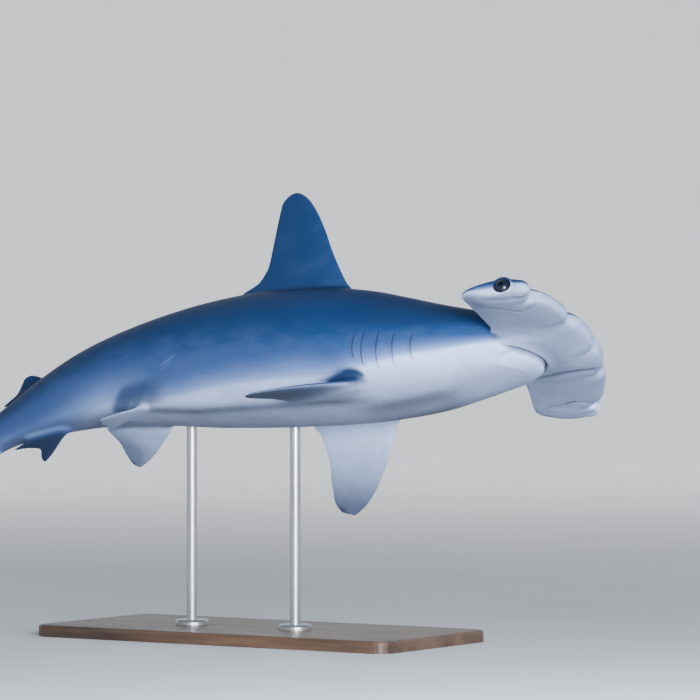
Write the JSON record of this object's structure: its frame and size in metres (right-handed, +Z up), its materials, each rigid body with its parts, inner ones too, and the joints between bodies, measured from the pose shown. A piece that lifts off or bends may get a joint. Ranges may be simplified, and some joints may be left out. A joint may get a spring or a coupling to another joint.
{
  "type": "scalloped hammerhead shark",
  "caption": "Life-size scalloped hammerhead shark in a banking turn, with a broad notched head, tall dorsal fin and long tail, held on two rods above a flat base.",
  "frame": {"origin": "centre of the stand base's underside, on the floor", "axes": "+Z up from the floor, +X along the row's longest extent, towards the head's end; the animal's nose points towards +X and -Y, its tail towards -X and +Y"},
  "size_m": [1.9767, 1.4763, 1.0583],
  "materials": {
    "skin": "satin painted skin, blue-grey above and white below",
    "eye": "gloss",
    "stand_wood": "satin dark stained wood",
    "stand_steel": "brushed"
  },
  "bodies": {
    "root": {"head": "skin", "jaw": "skin", "hammer_left": "skin", "hammer_right": "skin", "neck": "skin", "torso": "skin", "abdomen": "skin", "tail_stalk": "skin", "caudal_upper_lobe": "skin", "caudal_lower_lobe": "skin", "first_dorsal_fin": "skin", "second_dorsal_fin": "skin", "anal_fin": "skin", "pectoral_fin_left": "skin", "pectoral_fin_right": "skin", "pelvic_fin_left": "skin", "pelvic_fin_right": "skin", "eye_left": "eye", "eye_right": "eye", "stand_base": "stand_wood", "stand_collar_front": "stand_steel", "stand_collar_rear": "stand_steel", "stand_rod_front": "stand_steel", "stand_rod_rear": "stand_steel"}
  },
  "joints": []
}
